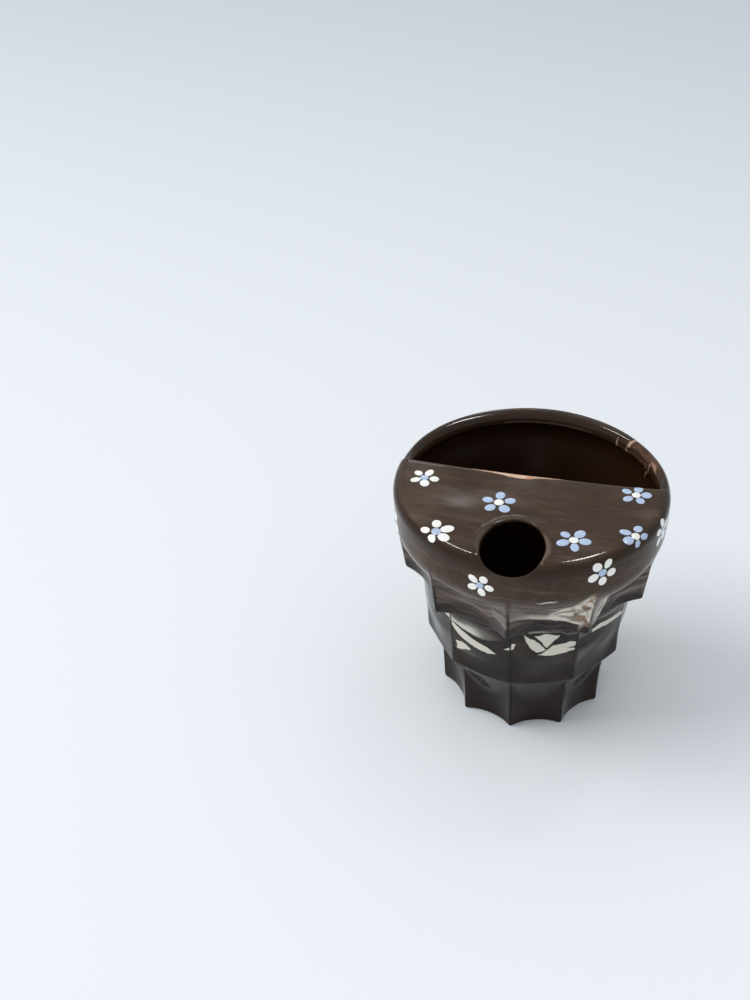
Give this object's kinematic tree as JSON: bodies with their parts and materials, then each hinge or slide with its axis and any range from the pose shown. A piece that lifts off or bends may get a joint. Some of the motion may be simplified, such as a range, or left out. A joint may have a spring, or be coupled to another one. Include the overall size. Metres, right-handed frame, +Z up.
{
  "type": "to-go cup",
  "caption": "Slip-cast ceramic to-go cup with stepped fluted tiers, a smooth band, a fixed half lid with a sip hole and an open half for filling.",
  "frame": {"origin": "on the cup's axis, on the surface it stands on", "axes": "+Z up along the cup's axis; -Y is the drinking side, where the sip hole and the first ridge lie; +Y is the open half for filling"},
  "size_m": [0.0886, 0.0886, 0.0846],
  "materials": {
    "cup": "glossy chocolate brown glaze over marbled cream and tan clay, with small hand-painted five-petal flowers on the band and lid"
  },
  "bodies": {
    "root": {"cup": "cup"}
  },
  "joints": []
}
